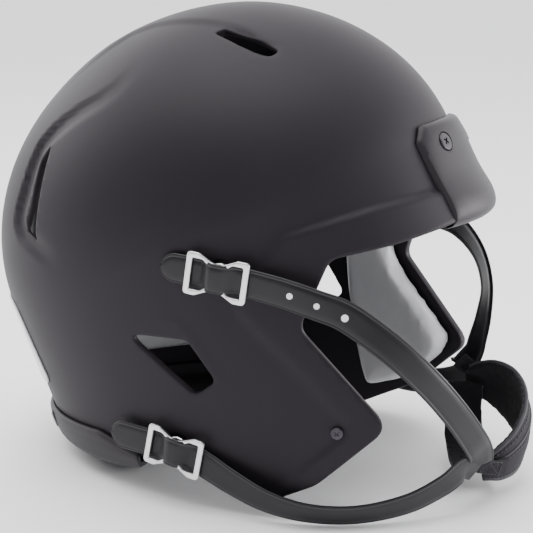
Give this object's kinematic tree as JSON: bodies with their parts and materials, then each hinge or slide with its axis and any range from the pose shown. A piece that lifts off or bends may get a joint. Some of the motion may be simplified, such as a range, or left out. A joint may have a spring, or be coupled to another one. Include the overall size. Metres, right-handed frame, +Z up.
{
  "type": "american football helmet",
  "caption": "Hard-shell sports helmet with face opening, ear holes, vents, front and rear bumpers, inner pads, and a chin cup on four snap straps.",
  "frame": {"origin": "on the table, under the middle of the helmet's bounding box", "axes": "+Z up; the face opening looks along -Y; the wearer's right side is -X"},
  "size_m": [0.2319, 0.3267, 0.2679],
  "materials": {
    "shell": "matte",
    "bumper": "satin",
    "label": "satin",
    "dark_pad": "matte",
    "grey_pad": "satin",
    "metal": "satin",
    "dark_metal": "satin",
    "strap": "satin",
    "cup": "matte"
  },
  "bodies": {
    "helmet": {"shell": "shell", "front_bumper": "bumper", "rear_bumper": "bumper", "rear_label": "label", "crown_pad": "dark_pad", "front_pad": "dark_pad", "brow_pad": "dark_pad", "back_pad": "dark_pad", "neck_pad": "grey_pad", "front_bumper_screw_right": "dark_metal", "front_bumper_screw_left": "dark_metal", "rear_bumper_screw_right": "dark_metal", "rear_bumper_screw_left": "dark_metal", "jaw_rivet_right": "dark_metal", "jaw_rivet_left": "dark_metal", "side_pad_right": "grey_pad", "side_pad_left": "grey_pad", "temple_pad_right": "dark_pad", "temple_pad_left": "dark_pad", "jaw_pad_right": "grey_pad", "jaw_pad_left": "grey_pad", "upper_stud_right": "metal", "upper_stud_left": "metal", "upper_nut_right": "dark_metal", "upper_nut_left": "dark_metal", "lower_stud_right": "metal", "lower_stud_left": "metal", "lower_nut_right": "dark_metal", "lower_nut_left": "dark_metal", "lower_socket_right": "metal", "lower_socket_left": "metal", "lower_buckle_right": "metal", "lower_buckle_left": "metal", "lower_strap_right": "strap", "lower_strap_left": "strap"},
    "chinstrap": {"chin_cup": "cup", "chin_cup_liner": "cup", "strap_tab_right": "strap", "strap_tab_left": "strap", "upper_strap_right": "strap", "upper_strap_left": "strap", "upper_buckle_right": "metal", "upper_buckle_left": "metal", "upper_socket_right": "metal", "upper_socket_left": "metal"}
  },
  "joints": [
    {"name": "chinstrap_swing", "type": "hinge", "parent": "helmet", "child": "chinstrap", "pos_m": [0, -0.02119, 0.13538], "axis": [1, 0, 0], "range_deg": [-12, 8], "deforming": ["lower_strap_right", "lower_strap_left"]}
  ]
}
